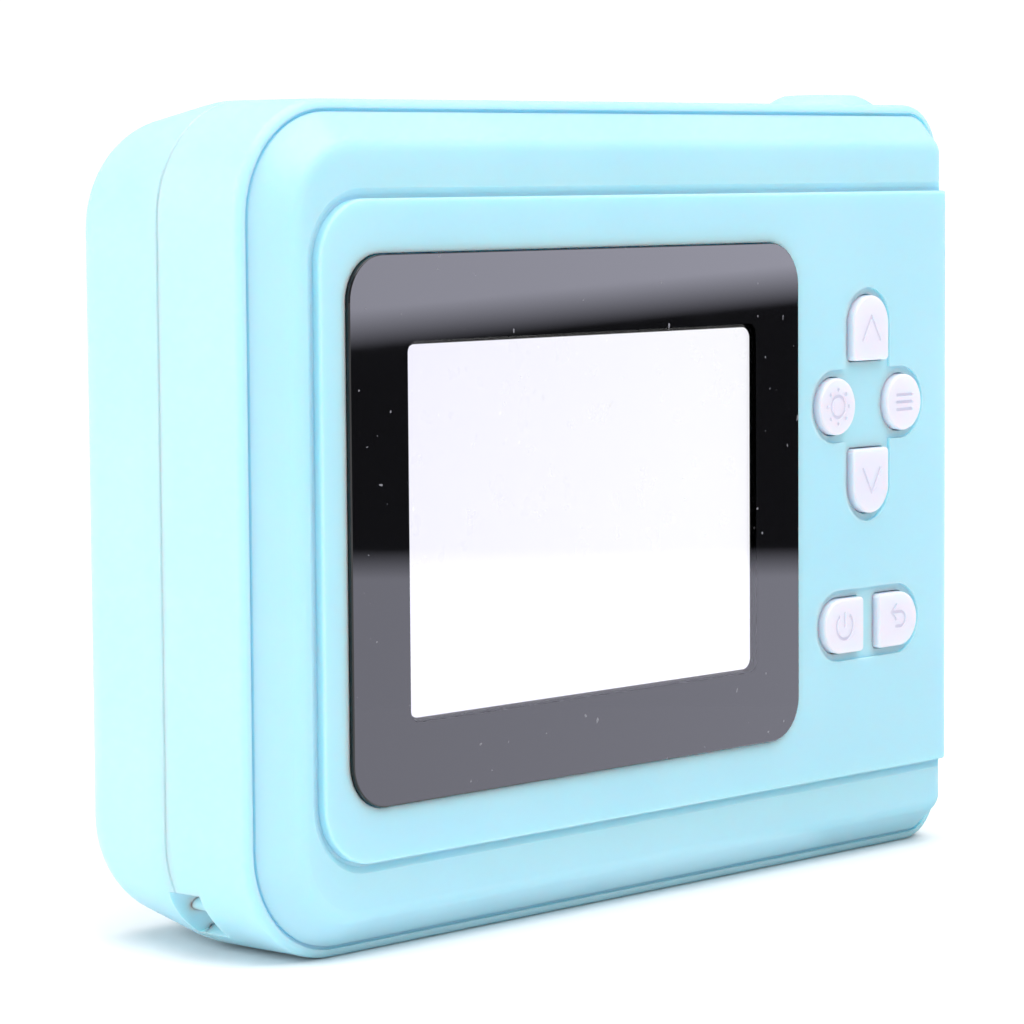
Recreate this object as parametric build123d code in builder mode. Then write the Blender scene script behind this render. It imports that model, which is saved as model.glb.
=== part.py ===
"""Children's digital camera: two-shell body, screen with glued window, seven sprung keys, hinged port cover.

Frame: X to the right as seen from the screen side, Y from the screen to the lens, Z up.
The origin is at the bottom centre of the whole camera's box. Depths are measured from the
raised panel round the window, into the camera.
"""

import os
from math import cos, radians, sin

from build123d import *

os.makedirs("parts", exist_ok=True)

# ---------------------------------------------------------------- driving dimensions (mm)
# Body
body_width = 108.0
body_height = 82.6
body_depth = 30.5
corner_left = 11.5
corner_right = 5.5
least_corner = 1.0
shell_wall = 1.8
rear_wall = 2.2
front_wall = 2.0
cavity_spare = 0.2
parting_depth = 15.4
seam_chamfer = 0.15

# Sloped border and raised panel on the screen side
platform_depth = 0.7
ledge_depth = 4.1
ledge_width = 0.35
rear_edge_round = 0.9
groove_depth = 0.35
slope_width = 2.95
platform_round = 1.8
panel_left = -47.45
panel_height = 63.6
panel_corner = 6.2
panel_edge_round = 0.3
panel_groove_depth = 0.35
panel_groove_width = 1.0
panel_groove_floor = 0.35

# Front shell: drafted sides with a large front rounding
draft_start = 17.0
draft_inset = 2.3
draft_blend = 12.0
draft_corners = (12.9, 8.0)
front_round = 5.2

# Tongue that locates the two shells
tongue_wall = 0.8
tongue_length = 1.2
tongue_gap = 0.1

# Screen
window_x = -10.4
window_width = 67.4
window_height = 53.0
window_thickness = 1.2
window_corner = 4.5
window_proud = 0.45
window_gap = 0.1
window_edge_round = 0.15
adhesive_thickness = 0.2
screen_width = 58.0
screen_height = 42.4
screen_thickness = 2.6
screen_gap = 0.15
screen_hole_gap = 0.3
frame_width = 66.0
frame_height = 50.0
frame_thickness = 1.4
frame_opening_width = 50.0
frame_opening_height = 34.0
frame_post_radius = 1.8
frame_screw_inset = 1.9

# Keys
pad_x = 35.8
pad_z = 50.0
pad_key_width = 6.15
pad_key_start = 4.8
pad_key_end = 11.85
pad_side_reach = 5.85
lower_key_z = 26.1
lower_key_width = 5.95
lower_key_start = 1.35
lower_key_end = 8.15
key_proud = 0.55
key_gap = 0.15
key_edge_round = 0.25
key_flange = 0.6
key_flange_thickness = 0.8
key_rest_gap = 0.1
key_recess_margin = 0.9
key_recess_depth = 0.35
key_corner = 0.5
key_travel = 0.3
mark_depth = 0.1
mark_line = 0.35
mark_chevron = (3.0, 2.6)
mark_ring_radius = 1.15
mark_dot_radius = 0.22
mark_dot_ring_radius = 1.85
mark_dot_count = 8
mark_bar_width = 2.6
mark_bar_pitch = 0.8
mark_power_radius = 1.4
mark_power_gap = 35.0
mark_return = (1.2, 0.8)

# Tact switches
switch_size = 4.5
switch_height = 3.3
plunger_radius = 1.2
plunger_stand = 0.8
plunger_insert = 0.8
plunger_gap = 0.06
switch_corner = 0.4
switch_spare = 0.2
switch_gap = 0.05

# Main board
board_depth = 9.0
board_thickness = 1.6
board_left = -39.0
board_right = 49.9
board_bottom = 12.0
board_top = 70.0
board_corner = 2.0
board_post_radius = 2.0
component_chamfer = 0.15

# Chips on the board: x, z, width, height, thickness
chips = {
    "processor_chip": (-12.0, 52.0, 12.0, 12.0, 1.2),
    "memory_chip": (6.0, 60.0, 8.0, 6.0, 0.9),
    "power_chip": (30.0, 44.0, 5.0, 5.0, 0.8),
}

# Shutter button
shutter_x = 42.2
shutter_depth = 11.7
shutter_radius = 6.2
shutter_gap = 0.15
shutter_proud = 1.2
shutter_crown_radius = 3.9
shutter_tab_half_length = 6.9
shutter_tab_width = 6.0
shutter_tab_thickness = 1.0
shutter_switch_length = 6.0
shutter_switch_height = 3.5
shutter_stem_radius = 1.2
shutter_switch_thickness = 3.7
shutter_switch_inset = 0.2
shutter_crown_drop = 1.4
shutter_dish = 0.12

# Lens, flash, speaker and microphone
lens_x = 0.0
lens_z = 44.0
ring_radius = 15.5
ring_proud = 3.5
ring_seat_depth = 0.5
ring_edge_round = 1.2
sleeve_radius = 9.0
sleeve_wall = 1.0
press_gap = 0.1
cover_radius = 9.3
cover_thickness = 1.2
cover_shoulder = 1.0
holder_length = 5.3
collar_wall = 1.5
sensor_size = 8.5
sensor_thickness = 3.0
barrel_radius = 3.2
barrel_length = 3.6
element_radius = 2.3
element_depth = 0.8
element_bulge = 0.25
holder_dish = 1.6
holder_dish_gap = 0.5
ring_flare = 2.6
flash_x = -22.0
flash_z = 62.0
flash_radius = 3.5
flash_flange = 0.8
flash_flange_thickness = 0.8
led_size = 5.0
led_thickness = 1.5
speaker_x = 27.0
speaker_z = 25.0
speaker_radius = 10.0
speaker_thickness = 4.2
speaker_rib_wall = 1.2
speaker_basket = 2.2
speaker_magnet_radius = 6.5
grille_hole_radius = 0.8
grille_pitch = 3.2
microphone_x = 22.0
microphone_z = 63.0
microphone_radius = 2.0
microphone_length = 1.5
microphone_hole_radius = 0.5

# Battery
battery_x = -24.0
battery_z = 22.4
battery_length = 40.0
battery_height = 20.0
battery_thickness = 6.0
battery_round = 1.0
pad_thickness = 0.6
connector_reach = 14.0
connector_length = 4.0
connector_width = 5.0
connector_height = 2.5

# Ports and their cover on the right side
port_bottom = 18.5
port_top = 51.5
port_recess_depth = 2.3
port_floor = 1.4
port_rear = 6.2
port_frame = 2.4
cover_gap = 0.2
cover_plate = 1.7
nail_groove_depth = 0.5
nail_groove_width = 1.0
nail_groove_length = 9.0
hinge_inset = 1.1
hinge_radius = 1.0
hinge_end_gap = 0.15
hinge_rear_gap = 1.45
stub_radius = 0.6
stub_gap = 0.06
stub_length = 1.4
stub_hole_spare = 0.3
usb_z = 26.0
usb_width = 9.0
usb_height = 3.2
usb_length = 7.5
usb_wall = 0.35
usb_back_wall = 1.0
usb_tongue_thickness = 0.7
card_z = 43.0
card_socket_width = 14.0
card_socket_height = 1.9
card_socket_length = 15.0
card_slot_width = 11.2
card_slot_height = 1.0
port_hole_gap = 0.3

# Screws
screw_radius = 1.0
screw_gap = 0.05
screw_head_radius = 1.9
screw_head_height = 1.4
small_screw_radius = 0.7
small_head_radius = 1.3
small_head_height = 0.9
slot_share = 0.3
slot_length_share = 1.4
case_post_radius = 2.8
case_screw_reach = 7.0
screw_hole_spare = 0.5
screw_sink = 9.0
screw_well_gap = 0.2
frame_screw_length = 3.4
board_screw_length = 4.4

# Lanyard notch at the lower left corner
notch_angle = -139.0
notch_width = 6.0
notch_depth = 3.4
notch_ramp_start = 0.8
notch_drop = 3.9
notch_bow = 0.3
lanyard_post_radius = 0.8
lanyard_post_inset = 1.9
lanyard_post_hold = 1.2
lanyard_block = 4.5
lanyard_block_width = 9.0
lanyard_gap = 0.15

# Leads and flexes
lead_radius = 0.5
lead_pitch = 1.4
flex_thickness = 0.2
flex_width = 16.0
sensor_flex_width = 6.0
flex_loop = 3.0
flex_drop = 10.0
flex_bend = 1.0
lead_bend = 2.0
lead_step = 6.0

# ---------------------------------------------------------------- places worked out from them
middle_z = body_height / 2
overall_depth = key_proud + body_depth + ring_proud
panel_y = key_proud - overall_depth / 2
slope_inset = rear_edge_round + ledge_width
platform_inset = slope_inset + slope_width
cavity_back_inset = platform_inset + shell_wall + cavity_spare
cavity_full_depth = ledge_depth + shell_wall
front_inner_depth = body_depth - front_wall
board_front = board_depth + board_thickness
recess_floor = window_thickness + adhesive_thickness - window_proud
screen_front = window_thickness - window_proud + screen_gap
screen_back = screen_front + screen_thickness
frame_back = screen_back + frame_thickness
plunger_tip = board_depth - switch_height - plunger_stand
screw_seat = body_depth - screw_sink
ring_seat = body_depth - ring_seat_depth
holder_rear = front_inner_depth - holder_length
cover_back = ring_seat + cover_shoulder
right_wall_x = body_width / 2
inner_right_x = right_wall_x - shell_wall
inner_top_z = body_height - shell_wall


def at_depth(depth):
    """Plane across the camera at a depth behind the raised panel. It faces the screen side."""
    return Plane.XZ.offset(-(panel_y + depth))


def body_outline(inset, corners=(corner_left, corner_right)):
    """The body's rounded rectangle, inset all round: large corners on the left, small on the right."""
    with BuildSketch() as outline:
        with Locations((0, middle_z)):
            Rectangle(body_width - 2 * inset, body_height - 2 * inset)
        left = outline.vertices().group_by(Axis.X)[0]
        fillet(left, radius=max(corners[0] - inset, least_corner))
        right = outline.vertices().group_by(Axis.X)[-1]
        fillet(right, radius=max(corners[1] - inset, least_corner))
    return outline.sketch


def finish(piece, name):
    """Name a finished piece and write it out."""
    piece.part.label = name
    export_step(piece.part, f"parts/{name}.step")


# ---------------------------------------------------------------- keys: shapes and places
# Each key: name, shape, centre x, centre z, turn of its round end, start and end from its group's centre
key_places = [
    ("up", "tab", pad_x, pad_z, 90, pad_key_start, pad_key_end, pad_key_width),
    ("down", "tab", pad_x, pad_z, -90, pad_key_start, pad_key_end, pad_key_width),
    ("left", "round", pad_x, pad_z, 180, pad_side_reach, pad_side_reach, pad_key_width),
    ("right", "round", pad_x, pad_z, 0, pad_side_reach, pad_side_reach, pad_key_width),
    ("power", "tab", pad_x, lower_key_z, 180, lower_key_start, lower_key_end, lower_key_width),
    ("back", "tab", pad_x, lower_key_z, 0, lower_key_start, lower_key_end, lower_key_width),
]


def key_outline(shape, x, z, turn, start, end, width, grow):
    """A key's outline: a disc, or a tab with a flat inner end and a semicircular outer end."""
    radius = width / 2 + grow
    with BuildSketch() as flat:
        if shape == "round":
            with Locations((start, 0)):
                Circle(radius)
        else:
            centre = end + grow - radius
            inner = start - grow
            with Locations(((inner + centre) / 2, 0)):
                Rectangle(centre - inner, 2 * radius)
            fillet(flat.vertices().group_by(Axis.X)[0], radius=key_corner + grow)
            with Locations((centre, 0)):
                Circle(radius)
    with BuildSketch() as placed:
        with Locations(Location((x, z, 0), (0, 0, turn))):
            add(flat.sketch)
    return placed.sketch


def key_centre(shape, x, z, turn, start, end):
    """Middle of a key in X and Z, where its stem and switch stand."""
    reach = start if shape == "round" else (start + end) / 2
    return x + reach * cos(radians(turn)), z + reach * sin(radians(turn))


def stroke(*points):
    """A line of the marking's width with round ends and corners."""
    with BuildSketch() as line:
        for start, end in zip(points, points[1:]):
            with BuildLine():
                Line(start, end)
            trace(line_width=mark_line)
        with Locations(*points):
            Circle(mark_line / 2)
    return line.sketch


def key_mark(key_name):
    """A key's engraved mark: arrow head, ringed dots, menu bars, power sign or return arrow."""
    half_width, half_height = mark_chevron[0] / 2, mark_chevron[1] / 2
    with BuildSketch() as mark:
        if key_name in ("up", "down"):
            rise = half_height if key_name == "up" else -half_height
            add(stroke((-half_width, -rise), (0, rise), (half_width, -rise)))
        elif key_name == "left":
            Circle(mark_ring_radius + mark_line / 2)
            Circle(mark_ring_radius - mark_line / 2, mode=Mode.SUBTRACT)
            with PolarLocations(mark_dot_ring_radius, mark_dot_count):
                Circle(mark_dot_radius)
        elif key_name == "right":
            for row in (-mark_bar_pitch, 0, mark_bar_pitch):
                add(stroke((-mark_bar_width / 2, row), (mark_bar_width / 2, row)))
        elif key_name == "power":
            with BuildLine():
                CenterArc((0, 0), mark_power_radius, 90 + mark_power_gap, 360 - 2 * mark_power_gap)
            trace(line_width=mark_line)
            add(stroke((0, 0), (0, mark_power_radius)))
        else:
            reach, bend = mark_return
            with BuildLine():
                CenterArc((reach - bend, 0), bend, -90, 180)
            trace(line_width=mark_line)
            add(stroke((reach - bend, bend), (-reach, bend)))
            add(stroke((reach - bend, -bend), (-bend / 2, -bend)))
            add(stroke((bend - reach, 2 * bend), (-reach, bend), (bend - reach, 0)))
    return mark.sketch


# ---------------------------------------------------------------- screws and bosses: places
case_screw_places = [(-42.8, 73.0), (31.4, 73.0), (-30.0, 9.0), (44.3, 9.0)]
board_screw_places = [(-34.5, 68.5), (24.0, 68.5), (-34.5, 14.1), (46.8, 33.2)]
frame_screw_places = [
    (window_x + side * (frame_width / 2 - frame_screw_inset),
     middle_z + end * (frame_height / 2 - frame_screw_inset))
    for side in (-1, 1)
    for end in (-1, 1)
]

# Lanyard notch plane: across the corner, first axis outwards, second axis into the camera
corner_x = -body_width / 2 + corner_left
corner_z = corner_left
notch_direction = radians(notch_angle)
notch_plane = Plane(
    origin=(corner_x, panel_y, corner_z),
    x_dir=(cos(notch_direction), 0, sin(notch_direction)),
    z_dir=(-sin(notch_direction), 0, cos(notch_direction)),
)
notch_rear = parting_depth - notch_depth
post_reach = corner_left - lanyard_post_inset
post_x = corner_x + post_reach * cos(notch_direction)
post_z = corner_z + post_reach * sin(notch_direction)

# Port cover: hinge line and recess
hinge_x = right_wall_x - hinge_inset
hinge_depth = port_rear + hinge_rear_gap
recess_x = right_wall_x - port_recess_depth
port_middle_z = (port_bottom + port_top) / 2
port_height = port_top - port_bottom



def panel_outline(grow):
    """The raised panel's outline, grown all round. Its right end lies past the platform's edge."""
    panel_right = right_wall_x - platform_inset + panel_edge_round
    with BuildSketch() as outline:
        with Locations(((panel_left + panel_right) / 2, middle_z)):
            Rectangle(panel_right - panel_left + 2 * grow, panel_height + 2 * grow)
        fillet(outline.vertices().group_by(Axis.X)[0], radius=panel_corner + grow)
    return outline.sketch


# ---------------------------------------------------------------- rear shell
# Raised panel: one belt that runs off the right end of the border and down its slope
with BuildPart() as panel_belt:
    with BuildSketch(Plane.XY.offset(middle_z - panel_height / 2)):
        with BuildLine():
            Polyline(
                (panel_left, panel_y),
                (right_wall_x - platform_inset + panel_edge_round, panel_y),
                (right_wall_x - slope_inset + panel_edge_round, panel_y + ledge_depth),
                (panel_left, panel_y + ledge_depth),
                close=True,
            )
        make_face()
    extrude(amount=panel_height)
    fillet(panel_belt.edges().filter_by(Axis.Y).group_by(Axis.X)[0], radius=panel_corner)
    rear_rim = panel_belt.faces().sort_by(Axis.Y)[0].edges()
    run_off = rear_rim.filter_by(Axis.Z).sort_by(Axis.X)[-1]
    fillet(run_off, radius=platform_round)
    fillet(panel_belt.faces().sort_by(Axis.Y)[0].outer_wire().edges().filter_by(
        lambda edge: edge.center().X < right_wall_x - platform_inset - platform_round),
        radius=panel_edge_round)

with BuildPart() as rear_shell:
    with BuildSketch(at_depth(parting_depth)):
        add(body_outline(0))
    extrude(amount=parting_depth - ledge_depth)
    fillet(rear_shell.faces().sort_by(Axis.Y)[0].edges(), radius=rear_edge_round)
    chamfer(rear_shell.faces().sort_by(Axis.Y)[-1].edges(), length=seam_chamfer)
    # Sloped border up to the flat platform
    with BuildSketch(at_depth(ledge_depth)):
        add(body_outline(slope_inset))
    with BuildSketch(at_depth(platform_depth)):
        add(body_outline(platform_inset))
    loft(ruled=True)
    fillet(rear_shell.faces().sort_by(Axis.Y)[0].edges(), radius=platform_round)
    # Fine groove at the foot of the slope
    with BuildSketch(at_depth(ledge_depth + groove_depth)):
        add(body_outline(rear_edge_round))
        add(body_outline(slope_inset), mode=Mode.SUBTRACT)
    extrude(amount=groove_depth, mode=Mode.SUBTRACT)
    # Shallow groove with a sloping bank round the raised panel
    with BuildSketch(at_depth(platform_depth)):
        add(panel_outline(panel_groove_width))
    with BuildSketch(at_depth(platform_depth + panel_groove_depth)):
        add(panel_outline(panel_groove_floor))
    loft(ruled=True, mode=Mode.SUBTRACT)
    add(panel_belt.part)
    # Hollow, narrower behind the sloped border
    with BuildSketch(at_depth(cavity_full_depth)):
        add(body_outline(slope_inset + shell_wall))
    with BuildSketch(at_depth(rear_wall)):
        add(body_outline(cavity_back_inset))
    loft(ruled=True, mode=Mode.SUBTRACT)
    with BuildSketch(at_depth(parting_depth)):
        add(body_outline(shell_wall))
    extrude(amount=parting_depth - cavity_full_depth, mode=Mode.SUBTRACT)

    # Tongue that enters the front shell
    with BuildSketch(at_depth(parting_depth + tongue_length)):
        add(body_outline(shell_wall - tongue_wall))
        add(body_outline(shell_wall), mode=Mode.SUBTRACT)
    extrude(amount=tongue_length)
    # Seat and hole for the screen and its window
    with BuildSketch(at_depth(recess_floor)):
        with Locations((window_x, middle_z)):
            RectangleRounded(window_width + 2 * window_gap, window_height + 2 * window_gap,
                             window_corner + window_gap)
    extrude(amount=recess_floor, mode=Mode.SUBTRACT)
    with BuildSketch(at_depth(rear_wall)):
        with Locations((window_x, middle_z)):
            Rectangle(screen_width + 2 * screen_hole_gap, screen_height + 2 * screen_hole_gap)
    extrude(amount=rear_wall, mode=Mode.SUBTRACT)
    # Sunk plates round the keys: a plus and a stadium
    with BuildSketch(at_depth(key_recess_depth)):
        with Locations((pad_x, pad_z)):
            SlotOverall(2 * (pad_key_end + key_recess_margin),
                        pad_key_width + 2 * key_recess_margin, rotation=90)
            SlotOverall(2 * (pad_side_reach + key_recess_margin) + pad_key_width,
                        pad_key_width + 2 * key_recess_margin)
        with Locations((pad_x, lower_key_z)):
            SlotOverall(2 * (lower_key_end + key_recess_margin), lower_key_width + 2 * key_recess_margin)
    extrude(amount=key_recess_depth, mode=Mode.SUBTRACT)
    with BuildSketch(at_depth(rear_wall)):
        for key_name, *place in key_places:
            add(key_outline(*place, grow=key_gap))
    extrude(amount=rear_wall, mode=Mode.SUBTRACT)
    # Posts for the main board, the screen's frame and the case screws
    for places, radius, top in (
        (board_screw_places, board_post_radius, board_depth),
        (frame_screw_places, frame_post_radius, screen_back),
        (case_screw_places, case_post_radius, parting_depth),
    ):
        with BuildSketch(at_depth(top)):
            with Locations(*places):
                Circle(radius)
        extrude(amount=top - rear_wall)
    for places, radius, top, depth in (
        (board_screw_places, small_screw_radius, board_depth,
         board_screw_length - board_thickness + screw_hole_spare),
        (frame_screw_places, small_screw_radius, screen_back,
         frame_screw_length - frame_thickness + screw_gap),
        (case_screw_places, screw_radius, parting_depth, case_screw_reach + screw_hole_spare),
    ):
        with BuildSketch(at_depth(top)):
            with Locations(*places):
                Circle(radius + screw_gap)
        extrude(amount=depth, mode=Mode.SUBTRACT)
    # Hole for the shutter button, shared with the front shell
    with BuildSketch(Plane.XY.offset(inner_top_z - shell_wall)):
        with Locations((shutter_x, panel_y + shutter_depth)):
            Circle(shutter_radius + shutter_gap)
    extrude(amount=3 * shell_wall, mode=Mode.SUBTRACT)
    # Thick pad on the right wall, the port cover's recess and the two port openings
    with BuildSketch(Plane.YZ.offset(recess_x - port_floor)):
        with Locations((panel_y + (port_rear - port_frame + parting_depth) / 2, port_middle_z)):
            Rectangle(parting_depth - port_rear + port_frame, port_height + 2 * port_frame)
    extrude(amount=port_recess_depth + port_floor - seam_chamfer)
    with BuildSketch(Plane.YZ.offset(recess_x)):
        with Locations((panel_y + (port_rear + parting_depth) / 2, port_middle_z)):
            Rectangle(parting_depth - port_rear, port_height)
    extrude(amount=2 * port_recess_depth, mode=Mode.SUBTRACT)
    with BuildSketch(Plane.YZ.offset(recess_x - 2 * port_floor)):
        with Locations((panel_y + board_front + usb_height / 2, usb_z)):
            SlotOverall(usb_width + 2 * port_hole_gap, usb_height + 2 * port_hole_gap, rotation=90)
        with Locations((panel_y + board_front + card_socket_height / 2, card_z)):
            Rectangle(card_slot_height + 2 * port_hole_gap, card_slot_width + 2 * port_hole_gap)
    extrude(amount=3 * port_floor, mode=Mode.SUBTRACT)
    # Holes for the cover's stub pins, above and below the recess
    with BuildSketch(Plane.XY.offset(port_bottom - stub_length - stub_hole_spare)):
        with Locations((hinge_x, panel_y + hinge_depth)):
            Circle(stub_radius + stub_gap)
    extrude(amount=port_height + 2 * (stub_length + stub_hole_spare), mode=Mode.SUBTRACT)
    # Notch for a lanyard, and the end of its post
    with BuildSketch(notch_plane):
        with Locations((corner_left, (notch_rear + parting_depth) / 2 + tongue_length)):
            Rectangle(2 * (shell_wall + lanyard_post_radius), notch_depth + 2 * tongue_length)
    extrude(amount=notch_width / 2, both=True, mode=Mode.SUBTRACT)
    with BuildSketch(at_depth(parting_depth)):
        with Locations((post_x, post_z)):
            Circle(lanyard_post_radius)
    extrude(amount=notch_depth + lanyard_post_hold, mode=Mode.SUBTRACT)
finish(rear_shell, "rear_shell")


# ---------------------------------------------------------------- front shell
with BuildPart() as front_hollow:
    with BuildSketch(at_depth(draft_start)):
        add(body_outline(shell_wall))
    extrude(amount=draft_start - parting_depth)
    with BuildSketch(at_depth(draft_start)):
        add(body_outline(shell_wall))
    with BuildSketch(at_depth(front_inner_depth)):
        add(body_outline(draft_inset + shell_wall, draft_corners))
    loft(ruled=True)
    fillet(front_hollow.faces().sort_by(Axis.Y)[-1].edges(), radius=front_round - shell_wall)

with BuildPart() as front_shell:
    with BuildSketch(at_depth(draft_start)):
        add(body_outline(0))
    extrude(amount=draft_start - parting_depth)
    chamfer(front_shell.faces().sort_by(Axis.Y)[0].edges(), length=seam_chamfer)
    with BuildSketch(at_depth(draft_start)):
        add(body_outline(0))
    with BuildSketch(at_depth(body_depth)):
        add(body_outline(draft_inset, draft_corners))
    loft(ruled=True)
    draft_edges = front_shell.edges().filter_by(
        lambda edge: abs(edge.center().Y - panel_y - draft_start) < seam_chamfer)
    fillet(draft_edges, radius=draft_blend)
    fillet(front_shell.faces().sort_by(Axis.Y)[-1].edges(), radius=front_round)
    add(front_hollow.part, mode=Mode.SUBTRACT)
    # Rebate for the rear shell's tongue
    with BuildSketch(at_depth(parting_depth + tongue_length + tongue_gap)):
        add(body_outline(shell_wall - tongue_wall - tongue_gap))
    extrude(amount=tongue_length + tongue_gap, mode=Mode.SUBTRACT)
    # Posts over the case screws, sunk from the front
    with BuildSketch(at_depth(front_inner_depth)):
        with Locations(*case_screw_places):
            Circle(case_post_radius)
    extrude(amount=front_inner_depth - parting_depth)
    with BuildSketch(at_depth(body_depth)):
        with Locations(*case_screw_places):
            Circle(screw_head_radius + screw_well_gap)
    extrude(amount=screw_sink, mode=Mode.SUBTRACT)
    with BuildSketch(at_depth(body_depth)):
        with Locations(*case_screw_places):
            Circle(screw_radius + screw_gap)
    extrude(amount=body_depth - parting_depth, mode=Mode.SUBTRACT)
    # Collar and hole for the lens, seat for its ring
    with BuildSketch(at_depth(front_inner_depth)):
        with Locations((lens_x, lens_z)):
            Circle(sleeve_radius + press_gap + collar_wall)
    extrude(amount=holder_length)
    with BuildSketch(at_depth(body_depth)):
        with Locations((lens_x, lens_z)):
            Circle(sleeve_radius + press_gap)
    extrude(amount=front_wall + holder_length, mode=Mode.SUBTRACT)
    with BuildSketch(at_depth(body_depth)):
        with Locations((lens_x, lens_z)):
            Circle(ring_radius + press_gap)
    extrude(amount=ring_seat_depth, mode=Mode.SUBTRACT)
    # Flash opening
    with BuildSketch(at_depth(body_depth)):
        with Locations((flash_x, flash_z)):
            Circle(flash_radius + press_gap)
    extrude(amount=front_wall, mode=Mode.SUBTRACT)
    # Speaker rib and grille, microphone hole
    with BuildSketch(at_depth(front_inner_depth)):
        with Locations((speaker_x, speaker_z)):
            Circle(speaker_radius + press_gap + speaker_rib_wall)
            Circle(speaker_radius + press_gap, mode=Mode.SUBTRACT)
    extrude(amount=speaker_thickness / 2)
    with BuildSketch(at_depth(body_depth)):
        with Locations((speaker_x, speaker_z)):
            Circle(grille_hole_radius)
            for ring in (1, 2):
                with PolarLocations(ring * grille_pitch, 6 * ring):
                    Circle(grille_hole_radius)
        with Locations((microphone_x, microphone_z)):
            Circle(microphone_hole_radius)
    extrude(amount=front_wall, mode=Mode.SUBTRACT)
    # Hole for the shutter button
    with BuildSketch(Plane.XY.offset(inner_top_z - shell_wall)):
        with Locations((shutter_x, panel_y + shutter_depth)):
            Circle(shutter_radius + shutter_gap)
    extrude(amount=3 * shell_wall, mode=Mode.SUBTRACT)
    # Block behind the lanyard notch: it joins the wall past the tongue and fills the notch
    block_rear = notch_rear - lanyard_post_hold - lanyard_post_radius
    block_front = parting_depth + tongue_length + 2 * shell_wall
    wall_start = parting_depth + tongue_length + tongue_gap
    block_inner = corner_left - shell_wall - lanyard_gap - lanyard_block
    block_middle = block_inner + lanyard_block
    for inset, width, rear, front in (
        (shell_wall + lanyard_gap, lanyard_block_width, block_rear, block_front),
        (shell_wall / 2, lanyard_block_width, wall_start, block_front),
        (shell_wall / 3, notch_width - 2 * lanyard_gap, notch_rear + lanyard_gap, wall_start),
    ):
        with BuildSketch(at_depth(front)):
            add(body_outline(inset))
            with Locations(Location(
                (corner_x + block_middle * cos(notch_direction),
                 corner_z + block_middle * sin(notch_direction), 0), (0, 0, notch_angle))):
                Rectangle(2 * lanyard_block, width, mode=Mode.INTERSECT)
        extrude(amount=front - rear)
    ramp_start = parting_depth + notch_ramp_start
    ramp_rise = notch_drop / (ramp_start - notch_rear)
    with BuildSketch(notch_plane):
        with BuildLine():
            outer_reach = corner_left + shell_wall
            bottom = (corner_left - notch_drop, notch_rear)
            lip = (outer_reach, ramp_start + shell_wall / ramp_rise)
            middle = ((bottom[0] + lip[0]) / 2 - notch_bow, (bottom[1] + lip[1]) / 2 + notch_bow)
            ThreePointArc(bottom, middle, lip)
            Polyline(lip, (outer_reach, notch_rear), bottom)
        make_face()
    extrude(amount=notch_width / 2, both=True, mode=Mode.SUBTRACT)
    with BuildSketch(at_depth(ramp_start + lanyard_post_hold)):
        with Locations((post_x, post_z)):
            Circle(lanyard_post_radius)
    extrude(amount=ramp_start - notch_rear + 2 * lanyard_post_hold, mode=Mode.SUBTRACT)
finish(front_shell, "front_shell")

with BuildPart() as lanyard_post:
    with BuildSketch(at_depth(ramp_start + lanyard_post_hold)):
        with Locations((post_x, post_z)):
            Circle(lanyard_post_radius)
    extrude(amount=ramp_start - notch_rear + 2 * lanyard_post_hold)
finish(lanyard_post, "lanyard_post")

# ---------------------------------------------------------------- screen
with BuildPart() as display_window:
    with BuildSketch(at_depth(window_thickness - window_proud)):
        with Locations((window_x, middle_z)):
            RectangleRounded(window_width, window_height, window_corner)
    extrude(amount=window_thickness)
    fillet(display_window.faces().sort_by(Axis.Y)[0].edges(), radius=window_edge_round)
finish(display_window, "display_window")

with BuildPart() as window_adhesive:
    with BuildSketch(at_depth(recess_floor)):
        with Locations((window_x, middle_z)):
            RectangleRounded(window_width - 4 * window_gap, window_height - 4 * window_gap,
                             window_corner - 2 * window_gap)
            Rectangle(screen_width + 4 * screen_hole_gap, screen_height + 4 * screen_hole_gap,
                      mode=Mode.SUBTRACT)
    extrude(amount=adhesive_thickness)
finish(window_adhesive, "window_adhesive")

with BuildPart() as display_panel:
    with BuildSketch(at_depth(screen_back)):
        with Locations((window_x, middle_z)):
            Rectangle(screen_width, screen_height)
    extrude(amount=screen_thickness)
    chamfer(display_panel.edges().filter_by(Axis.Y), length=screen_gap)
finish(display_panel, "display_panel")

with BuildPart() as display_frame:
    with BuildSketch(at_depth(frame_back)):
        with Locations((window_x, middle_z)):
            RectangleRounded(frame_width, frame_height, frame_post_radius)
            RectangleRounded(frame_opening_width, frame_opening_height, frame_post_radius, mode=Mode.SUBTRACT)
        with Locations(*frame_screw_places):
            Circle(small_screw_radius + screw_gap, mode=Mode.SUBTRACT)
    extrude(amount=frame_thickness)
finish(display_frame, "display_frame")


def ribbon(name, width, x, points, bend):
    """A thin flex that runs in depth and height at one x: points are (depth, z)."""
    with BuildPart() as flex:
        with BuildLine() as route:
            FilletPolyline(*[(x, panel_y + depth, z) for depth, z in points], radius=bend)
        with BuildSketch(Plane(origin=route.line @ 0, x_dir=(1, 0, 0), z_dir=route.line % 0)):
            Rectangle(width, flex_thickness)
        sweep()
    finish(flex, name)


def block(name, x, z, width, height, rear, front):
    """A small rectangular component between two depths, with its long edges broken."""
    with BuildPart() as body:
        with BuildSketch(at_depth(front)):
            with Locations((x, z)):
                Rectangle(width, height)
        extrude(amount=front - rear)
        chamfer(body.edges().filter_by(Axis.Y), length=component_chamfer)
    finish(body, name)


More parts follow.
